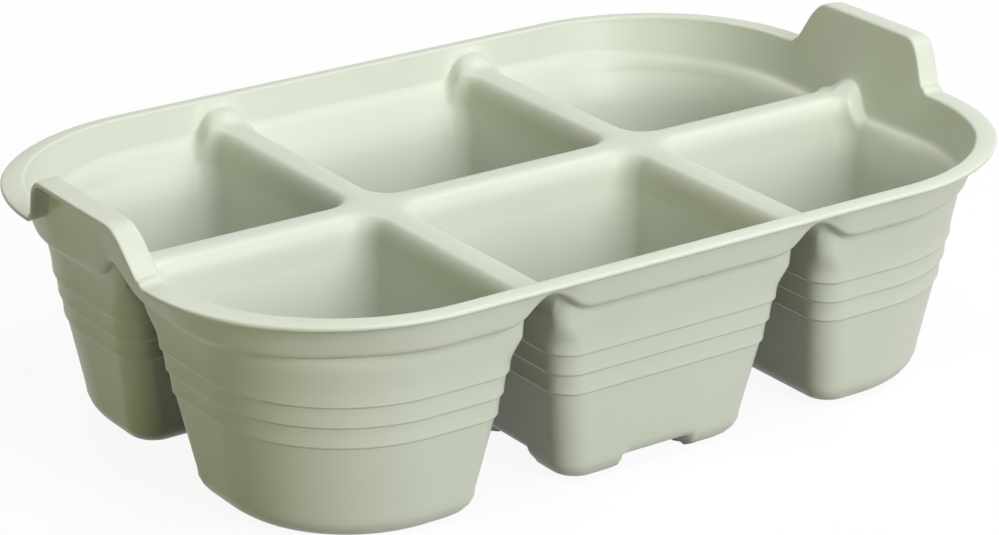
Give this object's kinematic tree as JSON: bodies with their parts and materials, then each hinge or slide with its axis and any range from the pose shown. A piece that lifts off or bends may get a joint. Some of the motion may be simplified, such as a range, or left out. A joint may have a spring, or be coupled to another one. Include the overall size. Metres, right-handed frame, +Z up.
{
  "type": "seed tray",
  "caption": "Rounded plastic seed tray with tapered planting cells hanging from a shared collar, rounded ridges between them and a raised carrying handle at each end.",
  "frame": {"origin": "on the ground under the middle of the tray", "axes": "+X along the length towards the right handle, +Y to the back, +Z up"},
  "size_m": [0.383, 0.25, 0.1163],
  "materials": {
    "sage_plastic": "fine matte moulded polypropylene with a slight sheen"
  },
  "bodies": {
    "root": {"cell_front_left": "sage_plastic", "cell_front_middle": "sage_plastic", "cell_front_right": "sage_plastic", "cell_back_left": "sage_plastic", "cell_back_middle": "sage_plastic", "cell_back_right": "sage_plastic", "long_ridge": "sage_plastic", "left_ridge_front": "sage_plastic", "left_ridge_back": "sage_plastic", "right_ridge_front": "sage_plastic", "right_ridge_back": "sage_plastic", "left_collar": "sage_plastic", "right_collar": "sage_plastic", "left_handle": "sage_plastic", "right_handle": "sage_plastic", "front_rim": "sage_plastic", "back_rim": "sage_plastic"}
  },
  "joints": []
}
